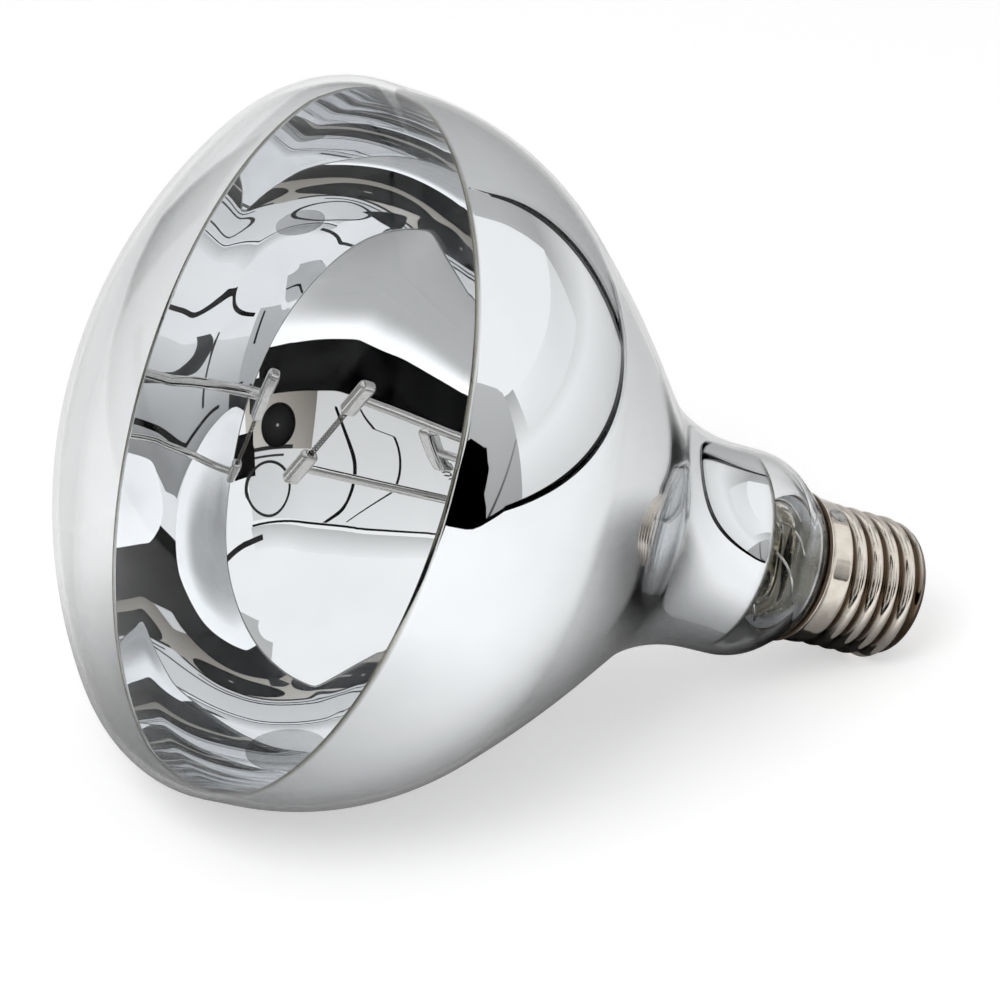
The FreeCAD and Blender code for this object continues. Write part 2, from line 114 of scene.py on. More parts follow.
# The helix runs in over a length from the collar. It runs out from a distance past the last crest to one
# past the thread's end, and what is left of it there fades down the foot.
THREAD_RUN_IN = 1.6
THREAD_RUN_OUT = (0.4, 0.6)
FOOT_FADE = 1.2

# The glass folds round the stem, as bent rods: distance, the ring's radius, its lean, the rod's radius
STEM_FOLDS = (
    (130.4, 8.4, 1.1, 1.2),
    (132.8, 9.7, 0.9, 1.3),
    (135.3, 8.7, 0.7, 1.2),
    (137.4, 10.1, 0.5, 0.9),
)
FOLD_LEAN_TURN = 40.0
FOLD_LOBES = 4
FOLD_LOBE_DEPTH = 0.5
FOLD_STEPS = 60
FOLD_SIDES = 14

# The soft wires along the stem: angle and bow. They start at the same distance and radius.
STEM_WIRES = ((150, 2.6), (190, 2.0), (235, 2.8), (300, 2.4), (20, 2.0))
STEM_WIRE_RADIUS = 0.28
STEM_WIRE_START = 128.6
STEM_WIRE_REACH = 7.0
STEM_WIRE_SIDE = 7.2
STEM_WIRE_SPREAD = 3.0
STEM_WIRE_SWEEP = 50.0
STEM_WIRE_STEPS = 24
STEM_WIRE_SIDES = 8

# How far the outer glass and the thread lie inside the CAD solids' skin
SKIN_DEPTH = 0.03

# The waves of the blown wall: their depth, how closely they follow each other round the bulb, their length
# along it, the distances from the widest ring between which they fade, and by what share
RIPPLE_DEPTH = 0.04
RIPPLES_ROUND = 3.0
RIPPLE_LENGTH = 9.0
RIPPLE_FADE = (25.0, 70.0)
RIPPLE_LOSS = 0.9

# Fineness of the meshes: lengths in millimetres, and steps in a full turn
CURVE_STEP = 1.2
GLASS_STEPS = 256
MIRROR_STEP = 0.75
MIRROR_STEPS = 400
COIL_STEPS = 16
SHEET_STEP = 0.25
THREAD_STEP = 0.16
SHELL_STEPS = 128
WELD_REACH = 1e-7

# Stains, in millimetres: at the mirror's rim, between two distances from its tail, and tarnish with
# painted shade up from the thread's valleys
RIM_STAIN = 0.5
TAIL_STAIN = (1.1, 0.6)
VALLEY_TARNISH_AND_SHADE = 0.5

# The glass: the colour of its sheen, the share of its tone that is left where it is least clear, the scale
# of that unevenness, and how narrow its rim of painted shade is. Most values of a noise texture lie in
# NOISE_SPAN.
GLASS_SHEEN = (0.12, 0.12, 0.12, 1)
GLASS_DIP = 0.97
GLASS_SCALE = 40
GLASS_EDGE_SHADE_POWER = 3.5
NOISE_SPAN = (0.3, 0.7)


def find_lamp():
    """The matrix from the lamp's own axes, in millimetres, to the frame.

    The lamp's x points down, y across and z to the cap. The thread's mount gives the axis and where the
    front of the glass is.
    """
    mounts = {mount["name"]: mount for mount in frame["record"]["mounts"]}
    thread = mounts["screw_thread"]
    axis = Vector(thread["axis"]).normalized()
    side = Vector((0, 1, 0))
    down = side.cross(axis)
    front = Vector(thread["pos_m"]) - axis * THREAD_MOUNT * 0.001
    turn = Matrix((down, side, axis)).transposed().to_4x4()
    return Matrix.Translation(front) @ turn @ Matrix.Diagonal((0.001, 0.001, 0.001, 1))


class Outline:
    """Points along tangent arcs and runs, as (radius, distance), at a depth inside the skin.

    Heading 0 is along the axis towards the cap, and 90 is away from the axis.
    """

    def __init__(self, inset, radius, distance, heading, step=CURVE_STEP):
        self.inset = inset
        self.heading = heading
        self.step = step
        self.points = [np.array((radius, distance), float) + self.direction(heading - 90) * inset]

    def direction(self, heading):
        turn = math.radians(heading)
        return np.array((math.sin(turn), math.cos(turn)))

    def run(self, length):
        """Goes straight on."""
        start = self.points[-1]
        count = max(1, round(length / self.step))
        for index in range(1, count + 1):
            self.points.append(start + self.direction(self.heading) * length * index / count)

    def arc(self, radius, turn):
        """Bends towards the axis for a positive turn, and away from it for a negative one."""
        side = math.copysign(1, turn)
        radius = radius - side * self.inset
        centre = self.points[-1] + self.direction(self.heading - side * 90) * radius
        count = max(4, round(radius * abs(math.radians(turn)) / self.step))
        for index in range(1, count + 1):
            heading = self.heading + side * 90 - turn * index / count
            self.points.append(centre + self.direction(heading) * radius)
        self.heading -= turn


def rise(radius, first, last):
    """How far an arc comes in between two slopes."""
    return radius * (math.cos(math.radians(first)) - math.cos(math.radians(last)))


def advance(radius, first, last):
    """How far an arc goes along the axis between two slopes."""
    return radius * (math.sin(math.radians(last)) - math.sin(math.radians(first)))


FACE_TURN = math.degrees(math.asin((BULB_RADIUS - SHOULDER_RADIUS) / (FACE_RADIUS - SHOULDER_RADIUS)))
EDGE_DISTANCE = FACE_RADIUS - (FACE_RADIUS - SHOULDER_RADIUS) * math.cos(math.radians(FACE_TURN))
SKIRT_DROP = BULB_RADIUS - NECK_RADIUS
BOWL_RADIUS = BOWL_SHARE * SKIRT_DROP
CONE_RADIUS = CONE_SHARE * SKIRT_DROP
FILLET_RADIUS = FILLET_SHARE * SKIRT_DROP
SLOPE = BOWL_TURN + CONE_TURN
CONE_END_RADIUS = BULB_RADIUS - rise(BOWL_RADIUS, 0, BOWL_TURN) - rise(CONE_RADIUS, BOWL_TURN, SLOPE)
CONE_RUN = ((CONE_END_RADIUS - NECK_RADIUS - rise(FILLET_RADIUS, 0, SLOPE))
            / math.sin(math.radians(SLOPE)))
TAIL_DROP = (NECK_RADIUS - TAIL_RADIUS
             - rise(NECK_SHOULDER_RADIUS + TAIL_FILLET_RADIUS, 0, NECK_SHOULDER_TURN))
TAIL_RUN = TAIL_DROP / math.sin(math.radians(NECK_SHOULDER_TURN))


def bowl_line(line):
    """The skin from the widest ring to the start of the neck."""
    line.run(BAND_LENGTH)
    line.arc(BOWL_RADIUS, BOWL_TURN)
    line.arc(CONE_RADIUS, CONE_TURN)
    line.run(CONE_RUN)
    line.arc(FILLET_RADIUS, -SLOPE)


def glass_line(inset):
    """The skin from the front of the face to the end of the tail."""
    line = Outline(inset, 0, 0, 90.0)
    line.arc(FACE_RADIUS, FACE_TURN)
    line.arc(SHOULDER_RADIUS, 90 - FACE_TURN)
    bowl_line(line)
    line.run(NECK_LENGTH)
    line.arc(NECK_SHOULDER_RADIUS, NECK_SHOULDER_TURN)
    line.run(TAIL_RUN)
    line.arc(TAIL_FILLET_RADIUS, -NECK_SHOULDER_TURN)
    line.run(TAIL_LENGTH)
    return line.points


def mirror_line(inset, step=CURVE_STEP):
    """The skin from the widest ring to where the mirror ends in the neck."""
    line = Outline(inset, BULB_RADIUS, EDGE_DISTANCE, 0.0, step)
    bowl_line(line)
    line.run(MIRROR_TAIL)
    return line.points


TAIL_END = glass_line(0)[-1][1]
MIRROR_END = mirror_line(0)[-1][1]
CAP_RIM = TAIL_END - CAP_OVERLAP
THREAD_TURN = math.degrees(math.asin(THREAD_PITCH / 4 / THREAD_ROUNDING))
THREAD_ROOT = THREAD_CREST - 2 * rise(THREAD_ROUNDING, 0, THREAD_TURN)
STEP_TURN = math.degrees(math.acos(1 - (COLLAR_RADIUS - THREAD_CREST) / (2 * STEP_BEND)))
RIM_DROP = RIM_RADIUS - COLLAR_RADIUS - rise(RIM_BEND, 0, RIM_FLARE)
COLLAR_START = (CAP_RIM + RIM_DROP / math.tan(math.radians(RIM_FLARE))
                + advance(RIM_BEND, 0, RIM_FLARE))
COLLAR_END = COLLAR_START + COLLAR_LENGTH
FIRST_CREST = COLLAR_END + 2 * advance(STEP_BEND, 0, STEP_TURN)
LAST_CREST = FIRST_CREST + THREAD_CRESTS * THREAD_PITCH
THREAD_END = LAST_CREST + THREAD_PITCH / 2
THREAD_MOUNT = LAST_CREST - (THREAD_CRESTS - 1) * THREAD_PITCH / 2
LAMP = find_lamp()


def smoothstep(low, high, value):
    part = min(max((value - low) / (high - low), 0), 1)
    return part * part * (3 - 2 * part)


def polar(radius, angle, z):
    """A point at an angle in degrees round the z axis."""
    turn = math.radians(angle)
    return np.array((radius * math.cos(turn), radius * math.sin(turn), z))


def add_mesh(name, points, faces, replaced=(), slot=None):
    """A smooth piece from points in the lamp's axes, riding on the lamp in place of its CAD nodes."""
    mesh = bpy.data.meshes.new(name)
    mesh.from_pydata([tuple(point) for point in points], [], faces)
    mesh.transform(LAMP)
    mesh.shade_smooth()
    piece = bpy.data.objects.new(name, mesh)
    bpy.context.scene.collection.objects.link(piece)
    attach(piece, "root")
    if replaced:
        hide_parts(*replaced)
    if slot:
        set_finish(piece, slot)
    return piece


def add_tones(piece, tone):
    """Gives a piece's points the attribute for their stain and painted shade, from their radius and
    distance.
    """
    inverse = LAMP.inverted()
    values = piece.data.attributes.new("stain_and_shade", "FLOAT", "POINT").data
    for point, value in zip(piece.data.vertices, values):
        x, y, z = inverse @ point.co
        value.value = tone(math.hypot(x, y), z)


def ring_faces(rings, around, closed=False):
    """Quads between successive rings of points, and from the last ring to the first if closed."""
    faces = []
    for row in range(rings if closed else rings - 1):
        here = row * around
        there = (row + 1) % rings * around
        for index in range(around):
            after = (index + 1) % around
            faces.append((here + index, here + after, there + after, there + index))
    return faces


def wave(turn, distance):
    """The unevenness of the blown wall, from -1 to 1: long round the bulb and short along it."""
    place = Vector((math.cos(turn) * RIPPLES_ROUND, math.sin(turn) * RIPPLES_ROUND,
                    distance / RIPPLE_LENGTH))
    fade = smoothstep(EDGE_DISTANCE + RIPPLE_FADE[0], EDGE_DISTANCE + RIPPLE_FADE[1], distance)
    return noise.noise(place) * (1 - RIPPLE_LOSS * fade)


def turned_shell(name, outer, inner, steps=GLASS_STEPS, ripple=0.0, **kind):
    """A thin wall turned from two lines of (radius, distance) points, whose inner line may ripple.

    Its ends are closed. Lines that start on the axis meet in a point there, which is welded.
    """
    turns = np.arange(steps) * 2 * math.pi / steps
    points = []
    for line, depth in ((outer, 0.0), (inner[::-1], ripple)):
        for radius, distance in line:
            for turn in turns:
                r = radius + depth * wave(turn, distance) if depth else radius
                points.append((r * math.cos(turn), r * math.sin(turn), distance))
    faces = ring_faces(len(outer) + len(inner), steps, closed=outer[0][0] > 1e-6)
    piece = add_mesh(name, points, faces, **kind)
    weld = piece.modifiers.new("weld", "WELD")
    weld.merge_threshold = WELD_REACH
    return piece


def tube(name, path, radius, sides, **kind):
    """A round wire along many points, closed at both ends."""
    path = np.array(path, float)
    tangents = np.gradient(path, axis=0)
    tangents /= np.linalg.norm(tangents, axis=1)[:, None]
    # Any direction that isn't the wire's own serves as a start. It turns with the wire from there.
    normal = np.cross(tangents[0], (0.3, 0.5, 0.8))
    points = []
    for place, tangent in zip(path, tangents):
        normal = normal - tangent * normal.dot(tangent)
        normal /= np.linalg.norm(normal)
        across = np.cross(tangent, normal)
        for side in range(sides):
            turn = 2 * math.pi * side / sides
            points.append(place + radius * (math.cos(turn) * normal + math.sin(turn) * across))
    faces = ring_faces(len(path), sides)
    faces.append(tuple(range(sides))[::-1])
    faces.append(tuple(range(len(points) - sides, len(points))))
    return add_mesh(name, points, faces, **kind)


def coil_path():
    """The filament's helix, from inside one clamp to inside the other."""
    middle = np.array((-FILAMENT_LIFT, 0, FILAMENT_DISTANCE))
    along = polar(1, FILAMENT_TURN, 0)
    across = polar(1, FILAMENT_TURN + 90, 0)
    up = np.array((0, 0, 1))
    reach = FILAMENT_SPAN / 2 + COIL_GRIP
    radius = COIL_RADIUS - COIL_WIRE_RADIUS
    count = round(2 * reach / COIL_PITCH * COIL_STEPS)
    path = []
    for index in range(count + 1):
        turn = 2 * math.pi * index / COIL_STEPS
        centre = middle + along * reach * (2 * index / count - 1)
        path.append(centre + radius * (math.cos(turn) * across + math.sin(turn) * up))
    return path


def fold_path(distance, radius, lean):
    """A lobed ring of glass round the stem that leans a little, and whose ends meet."""
    path = []
    for index in range(FOLD_STEPS + 1):
        turn = 360 * index / FOLD_STEPS
        lobe = FOLD_LOBE_DEPTH * math.sin(math.radians(FOLD_LOBES * turn))
        ahead = lean * math.cos(math.radians(turn - FOLD_LEAN_TURN))
        path.append(polar(radius + lobe, turn, distance + ahead))
    return path


def wire_path(angle, bow):
    """A soft wire that bows out, and winds a little, on its way along the stem."""
    path = []
    for index in range(STEM_WIRE_STEPS + 1):
        part = index / STEM_WIRE_STEPS
        radius = STEM_WIRE_SIDE + STEM_WIRE_SPREAD * part + bow * math.sin(math.pi * part)
        distance = STEM_WIRE_START + STEM_WIRE_REACH * part
        path.append(polar(radius, angle + STEM_WIRE_SWEEP * part, distance))
    return path


def knuckle(offset):
    """How far the rounded thread lies below its crest, at a distance along the axis from a crest."""
    offset = abs((offset + THREAD_PITCH / 2) % THREAD_PITCH - THREAD_PITCH / 2)
    if offset < THREAD_PITCH / 4:
        return THREAD_ROUNDING - math.sqrt(THREAD_ROUNDING ** 2 - offset ** 2)
    rest = THREAD_PITCH / 2 - offset
    return THREAD_CREST - THREAD_ROOT - THREAD_ROUNDING + math.sqrt(THREAD_ROUNDING ** 2 - rest ** 2)


def thread_radius(angle, distance):
    """The helical thread, right-handed, with its last crest lowest where the lamp rests on it."""
    return THREAD_CREST - knuckle(distance - LAST_CREST - THREAD_PITCH * angle / (2 * math.pi))


def shell_radius(angle, distance):
    """The drawn sheet's outer radius: collar, thread and run-out, each running into the next."""
    if distance < COLLAR_END:
        return COLLAR_RADIUS
    if angle > math.pi:
        angle -= 2 * math.pi
    begin = smoothstep(COLLAR_END, COLLAR_END + THREAD_RUN_IN, distance)
    thread = COLLAR_RADIUS + (thread_radius(angle, distance) - COLLAR_RADIUS) * begin
    end = smoothstep(LAST_CREST + THREAD_RUN_OUT[0], THREAD_END + THREAD_RUN_OUT[1], distance)
    return thread + (THREAD_ROOT - thread) * end


def shell_points(inset):
    """The cap's sheet as rings of points that follow the thread round, from its rim to its mouth."""
    rim = Outline(inset, RIM_RADIUS, CAP_RIM, -RIM_FLARE, SHEET_STEP)
    rim.run(RIM_DROP / math.sin(math.radians(RIM_FLARE)))
    rim.arc(RIM_BEND, -RIM_FLARE)
    angles = np.arange(SHELL_STEPS) * 2 * math.pi / SHELL_STEPS
    rings = [[(radius, z) for _ in angles] for radius, z in rim.points]
    start = rim.points[-1][1]
    count = round((THREAD_END - start) / THREAD_STEP)
    for index in range(1, count + 1):
        z = start + (THREAD_END - start) * index / count
        rings.append([(shell_radius(angle, z) - inset, z) for angle in angles])
    foot = Outline(inset, THREAD_ROOT, THREAD_END, 0.0, SHEET_STEP)
    foot.arc(FOOT_BEND, FOOT_SLOPE)
    foot.run((THREAD_ROOT - rise(FOOT_BEND, 0, FOOT_SLOPE) - MOUTH_RADIUS)
             / math.sin(math.radians(FOOT_SLOPE)))
    uneven = [shell_radius(angle, THREAD_END) - THREAD_ROOT for angle in angles]
    for radius, z in foot.points[1:]:
        left = 1 - smoothstep(THREAD_END, THREAD_END + FOOT_FADE, z)
        rings.append([(radius + extra * left, z) for extra in uneven])
    return [[(r * math.cos(angle), r * math.sin(angle), z) for (r, z), angle in zip(ring, angles)]
            for ring in rings]


def screw_shell():
    """The cap's threaded sheet, in the place of the turned one."""
    rings = shell_points(SKIN_DEPTH) + shell_points(CAP_SHEET)[::-1]
    points = [point for ring in rings for point in ring]
    faces = ring_faces(len(rings), SHELL_STEPS, closed=True)
    return add_mesh("screw_shell_thread", points, faces, ("screw_shell",), "nickel_shell")


def mirror_stain(radius, distance):
    """How worn the mirror is: at its rim and at its tail."""
    return (1 - smoothstep(EDGE_DISTANCE, EDGE_DISTANCE + RIM_STAIN, distance)
            + smoothstep(MIRROR_END - TAIL_STAIN[0], MIRROR_END - TAIL_STAIN[1], distance))


def valley_tarnish_and_shade(radius, distance):
    """Tarnish and painted shade on the cap, darkest in the thread's valleys."""
    return 1 - smoothstep(THREAD_ROOT, THREAD_ROOT + VALLEY_TARNISH_AND_SHADE, radius)


def add_mix(nodes, low, high):
    """A node that mixes two colours."""
    mix = nodes.new("ShaderNodeMix")
    mix.data_type = "RGBA"
    mix.inputs["A"].default_value = (*low, 1)
    mix.inputs["B"].default_value = (*high, 1)
    return mix


def add_noise(made, scale, detail=2.0):
    """A noise texture fixed to the object."""
    nodes = made.node_tree.nodes
    place = nodes.new("ShaderNodeTexCoord")
    texture = nodes.new("ShaderNodeTexNoise")
    texture.inputs["Scale"].default_value = scale
    texture.inputs["Detail"].default_value = detail
    made.node_tree.links.new(place.outputs["Object"], texture.inputs["Vector"])
    return texture


def add_material(name, colour, metallic=0.0, **sockets):
    """A Principled material. Extra sockets are set by name, with _ for a space."""
    made = bpy.data.materials.new(name)
    made.use_nodes = True
    shader = made.node_tree.nodes["Principled BSDF"]
    shader.inputs["Base Color"].default_value = (*colour, 1)
    shader.inputs["Metallic"].default_value = metallic
    for socket, value in sockets.items():
        shader.inputs[socket.replace("_", " ")].default_value = value
    return made


def add_grain(made, scale, low, high, roughness, bump):
    """Mottles a material's colour and roughness, each between two values, and its surface."""
    nodes = made.node_tree.nodes
    link = made.node_tree.links.new
    shader = nodes["Principled BSDF"]
    texture = add_noise(made, scale, detail=4.0)
    tones = add_mix(nodes, low, high)
    link(texture.outputs["Fac"], tones.inputs["Factor"])
    link(tones.outputs["Result"], shader.inputs["Base Color"])
    spread = nodes.new("ShaderNodeMapRange")
    spread.inputs["From Min"].default_value = NOISE_SPAN[0]
    spread.inputs["From Max"].default_value = NOISE_SPAN[1]
    spread.inputs["To Min"].default_value = roughness[0]
    spread.inputs["To Max"].default_value = roughness[1]
    link(texture.outputs["Fac"], spread.inputs["Value"])
    link(spread.outputs["Result"], shader.inputs["Roughness"])
    if bump:
        relief = nodes.new("ShaderNodeBump")
        relief.inputs["Strength"].default_value = 1.0
        relief.inputs["Distance"].default_value = bump
        link(texture.outputs["Fac"], relief.inputs["Height"])
        link(relief.outputs["Normal"], shader.inputs["Normal"])
    return made


def add_glass(name, clear, rim, ior):
    """Blown glass, faintly uneven in tone, with painted shade: it takes its darker rim colour where it is
    seen edge on.
    """
    made = add_material(name, clear, Roughness=0.0, IOR=ior, Transmission_Weight=1.0,
                        Specular_Tint=GLASS_SHEEN)
    nodes = made.node_tree.nodes
    link = made.node_tree.links.new
    texture = add_noise(made, GLASS_SCALE)
    uneven = add_mix(nodes, (GLASS_DIP * tone for tone in clear), clear)
    link(texture.outputs["Fac"], uneven.inputs["Factor"])
    facing = nodes.new("ShaderNodeLayerWeight")
    steep = nodes.new("ShaderNodeMath")
    steep.operation = "POWER"
    steep.inputs[1].default_value = GLASS_EDGE_SHADE_POWER
    link(facing.outputs["Facing"], steep.inputs[0])
    # Painted shade along the outline, where the glass is seen edge on
    edge = add_mix(nodes, clear, rim)
    link(steep.outputs["Value"], edge.inputs["Factor"])
    link(uneven.outputs["Result"], edge.inputs["A"])
    link(edge.outputs["Result"], nodes["Principled BSDF"].inputs["Base Color"])
    return made


def add_stain_and_shade(made, colour):
    """Mixes a colour over a material's own where the mesh's stain and painted shade value is high."""
    nodes = made.node_tree.nodes
    link = made.node_tree.links.new
    shader = nodes["Principled BSDF"]
    amount = nodes.new("ShaderNodeAttribute")
    amount.attribute_name = "stain_and_shade"
    stain_and_shade = add_mix(nodes, colour, colour)
    link(amount.outputs["Fac"], stain_and_shade.inputs["Factor"])
    link(shader.inputs["Base Color"].links[0].from_socket, stain_and_shade.inputs["A"])
    link(stain_and_shade.outputs["Result"], shader.inputs["Base Color"])


# Slot: whether it is metal, the grain's scale, its dark and light tones, its roughness, its relief
GRAINS = {
    "mirror": (1.0, 60, (0.86, 0.872, 0.89), (0.94, 0.947, 0.955), (0.0, 0.012), 0.0),
    "tungsten": (1.0, 4000, (0.13, 0.12, 0.1), (0.28, 0.26, 0.24), (0.25, 0.4), 0.0),
    "nickel_wire": (1.0, 2500, (0.48, 0.47, 0.45), (0.7, 0.69, 0.67), (0.05, 0.12), 0.0),
    "shield_metal": (1.0, 1500, (0.5, 0.53, 0.56), (0.66, 0.68, 0.7), (0.25, 0.38), 0.0),
    "nickel_shell": (1.0, 500, (0.6, 0.54, 0.46), (0.86, 0.81, 0.74), (0.07, 0.15), 1e-5),
    "cement": (0.0, 1400, (0.06, 0.035, 0.02), (0.18, 0.12, 0.07), (0.6, 0.85), 1e-4),
    "black_glass": (0.0, 600, (0.012, 0.012, 0.014), (0.035, 0.033, 0.036), (0.12, 0.3), 2e-5),
    "brass": (1.0, 900, (0.62, 0.46, 0.24), (0.82, 0.66, 0.38), (0.22, 0.4), 1e-5),
    "solder": (1.0, 900, (0.2, 0.19, 0.18), (0.6, 0.6, 0.6), (0.2, 0.4), 6e-5),
}
materials = {
    # Each glass's second colour is painted shade along its outline, where it is seen edge on
    "clear_glass": add_glass("clear_glass", (0.98, 0.987, 0.99), (0.25, 0.26, 0.27), ior=1.35),
    "stem_glass": add_glass("stem_glass", (0.8, 0.77, 0.68), (0.3, 0.27, 0.2), ior=1.5),
}
for slot, (metallic, scale, low, high, roughness, bump) in GRAINS.items():
    plain = add_material(slot, high, metallic)
    materials[slot] = add_grain(plain, scale, low, high, roughness, bump)
add_stain_and_shade(materials["mirror"], (0.12, 0.11, 0.06))
# The cap's dark brown in the thread's valleys is tarnish and painted shade
add_stain_and_shade(materials["nickel_shell"], (0.07, 0.045, 0.025))

# The lamp's pieces
turned_shell("bulb_glass", glass_line(SKIN_DEPTH), glass_line(GLASS_WALL),
             replaced=("glass_envelope",), slot="clear_glass")
mirror = turned_shell("bulb_mirror", mirror_line(GLASS_WALL + MIRROR_GAP),
                      mirror_line(GLASS_WALL + MIRROR_GAP + MIRROR_FILM, MIRROR_STEP),
                      MIRROR_STEPS, RIPPLE_DEPTH, replaced=("reflector_coating",), slot="mirror")
add_tones(mirror, mirror_stain)
tube("filament_coil", coil_path(), COIL_WIRE_RADIUS, COIL_WIRE_SIDES,
     replaced=("filament",), slot="tungsten")
for index, (distance, ring, lean, rod) in enumerate(STEM_FOLDS):
    tube(f"stem_fold_{index}", fold_path(distance, ring, lean), rod, FOLD_SIDES, slot="stem_glass")
for index, (angle, bow) in enumerate(STEM_WIRES):
    tube(f"stem_wire_{index}", wire_path(angle, bow), STEM_WIRE_RADIUS, STEM_WIRE_SIDES,
         slot="nickel_wire")
# Tarnish and painted shade in the thread's valleys
add_tones(screw_shell(), valley_tarnish_and_shade)

# Every piece gets its finish, and so does every CAD node that stays
slots = {row["node"]: row["material_slot"] for row in frame["record"]["subparts"]}
for node, piece in frame["nodes"].items():
    finish = materials[slots[node]]
    for holder in piece.material_slots:
        holder.material = finish
    if not piece.material_slots:
        piece.data.materials.append(finish)
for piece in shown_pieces():
    if piece.get("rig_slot"):
        piece.data.materials.append(materials[piece["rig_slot"]])


# The studio, in metres. Its middle, the strength of its lights, and the table's edges, whose near left
# corner is rounded about the origin
CENTRE = Vector((0, 0, 0.07))
SKY_LIGHT = 0.5
TABLE_LIFT = 0.5
TABLE_GREY = 0.78
KEY_POWER = 4.5
KEY_SIZE = 0.5
KEY_PLACE = Vector((-0.55, -0.5, 0.75))
TABLE_LEFT = -0.4
TABLE_RIGHT = 0.33
TABLE_NEAR = -0.46
TABLE_FAR = 1.4
TABLE_CORNER = 0.47
TABLE_CORNER_TURNS = range(-150, -99, 2)

# Fineness of the cards: steps along a panel's side, round a disc and out across it
PANEL_STEPS = 12
ROUND_STEPS = 48
SHADE_STEPS = 12
SHADE_CORE = 0.2

# The camera, fitted to the photo's outline of the lamp
CAMERA_LENS = 144
CAMERA_SENSOR = 36
CAMERA_NEAR = 0.01
CAMERA_PLACE = (-0.248489, -0.579664, 0.349684)
CAMERA_RIGHT = Vector((0.920725, -0.390212, 0.0))
CAMERA_UP = Vector((0.170304, 0.401841, 0.899734))

# What stands round the table. Each panel: name, the azimuth and elevation of its low edge's two corners
# and of its high edge's, its greys or colours on a scale to 255, and its distance. An azimuth of 0 is
# towards +X and one of 90 is towards +Y.
PANELS = (
    ("sweep_low", ((-60, -12), (30, -12)), ((-60, 5), (30, 5)), (222, 250), 3.0),
    ("sweep_high", ((-60, 5), (30, 5)), ((-60, 21), (30, 21)), (250, 182), 3.0),
    ("sweep_side", ((-66, -12), (-42, -12)), ((-66, 34), (-40, 34)), (165, 205), 2.95),
    ("softbox", ((-36, 20), (16, 21)), ((-40, 48), (17, 48)), (255, 255), 2.9),
    ("softbox_glow", ((-35, 8), (6, 10)), ((-36, 20), (16, 21)), (240, 246, 255, 230), 2.91),
    ("softbox_side", ((17, 21), (28, 21)), ((17, 60), (28, 60)), (180, 215), 2.95),
    ("side_wall", ((27, -11), (64, -11)), ((27, 60), (64, 60)), (196, 216), 3.0),
    ("flag_low", ((-80, -28), (-57, -13)), ((-80, 0), (-57.2, 0)), (0, 0), 2.9),
    ("flag_high", ((-80, 0), (-57.2, 0)), ((-80, 17.5), (-48.6, 17.5)), (0, 0), 2.9),
    ("board_edge", ((-57, -7), (-55.6, -7)), ((-42, 9), (-41, 9)), (70, 150), 2.85),
    ("stand_pole", ((29, -18), (35, -18)), ((27.2, 32), (28.6, 32)), (0, 10), 2.85),
    ("camera_wall", ((-158, 10), (-95, 10)), ((-158, 52), (-95, 52)), (222, 205, 245, 225), 2.95),
    ("wall_shade", ((-126, 10), (-95, 10)), ((-127, 29), (-95, 29)),
     ((118, 113, 106), (192, 186, 174), (150, 145, 138), (212, 208, 200)), 2.92),
    ("frame_top", ((-160, 51.4), (-94, 53.2)), ((-160, 52.2), (-94, 54)), (20, 30), 2.9),
    ("frame_post", ((-133.4, 15), (-133.1, 15)), ((-134, 52), (-133.7, 52)), (15, 25), 2.9),
    ("cable_low", ((-135.7, 9), (-135.5, 9)), ((-135.8, 18.5), (-135.6, 18.5)), (30, 30), 2.9),
    ("cable_bend", ((-136.9, 18.7), (-135.6, 18.2)), ((-136.9, 19.1), (-135.6, 18.5)), (30, 30), 2.9),
    ("cable_high", ((-137, 18.8), (-136.8, 18.8)), ((-137.1, 38), (-136.9, 38)), (25, 30), 2.9),
    ("cable_top", ((-137.1, 38), (-136.9, 38)), ((-135.3, 51), (-135.1, 51)), (30, 30), 2.9),
    ("wall_fade", ((-160, 54), (-93, 54)), ((-160, 62), (-93, 62)), (200, 250), 2.9),
    ("shelf_low", ((-118, 27.6), (-96, 27.6)), ((-118, 29), (-96, 29)), (40, 50), 2.88),
    ("shelf_high", ((-114, 30.6), (-97, 30.6)), ((-114, 31.4), (-97, 31.4)), (60, 60), 2.88),
    ("black_band", ((-165, -25), (-101, -25)), ((-165, 10.4), (-101, 10.4)), (0, 4), 2.91),
    ("black_left", ((-104, 4), (-97, 4)), ((-104, 16), (-97, 16)), (20, 50), 2.88),
    ("left_beam", ((-99, 22), (-88, 22)), ((-99, 37), (-88, 37)), (0, 0), 2.87),
    ("black_side", ((-180, 6), (-157, 6)), ((-180, 58), (-157, 58)), (0, 0), 2.85),
    ("rail_left", ((-100, 57), (-67, 60)), ((-100, 59), (-67, 62)), (40, 40), 2.85),
    ("far_wall", ((100, -10), (178, -10)), ((100, 45), (178, 45)), (150, 235), 3.0),
    ("far_rail", ((105, 57), (180, 60)), ((105, 59.4), (180, 62.2)), (0, 10), 2.9),
    ("far_shelf", ((118, 2), (178, -1)), ((118, 4.4), (178, 1.8)), (10, 20), 2.9),
    ("far_post", ((138, 10), (141, 10)), ((148, 48), (151, 48)), (60, 80), 2.95),
    ("far_edge", ((106, -20), (180, -26)), ((106, -10), (180, -13)), (0, 10), 2.95),
    ("right_wall", ((68, 8), (100, 8)), ((68, 62), (100, 62)), (180, 200), 3.0),
    ("right_patch", ((90, 38), (93, 38)), ((90, 60), (93, 60)), (20, 40), 2.95),
    ("right_foot", ((95, -3), (108, -3)), ((95, 13), (108, 13)), (40, 70), 2.9),
    ("ceiling", ((-40, 60), (62, 60)), ((-40, 84), (62, 84)), (205, 190), 2.95),
    ("ceiling_beam", ((-40, 72), (62, 72)), ((-40, 73.2), (62, 73.2)), (20, 30), 2.9),
    ("low_shelf", ((-180, -44), (-137, -44)), ((-180, -22), (-137, -22)), (50, 90), 2.9),
)

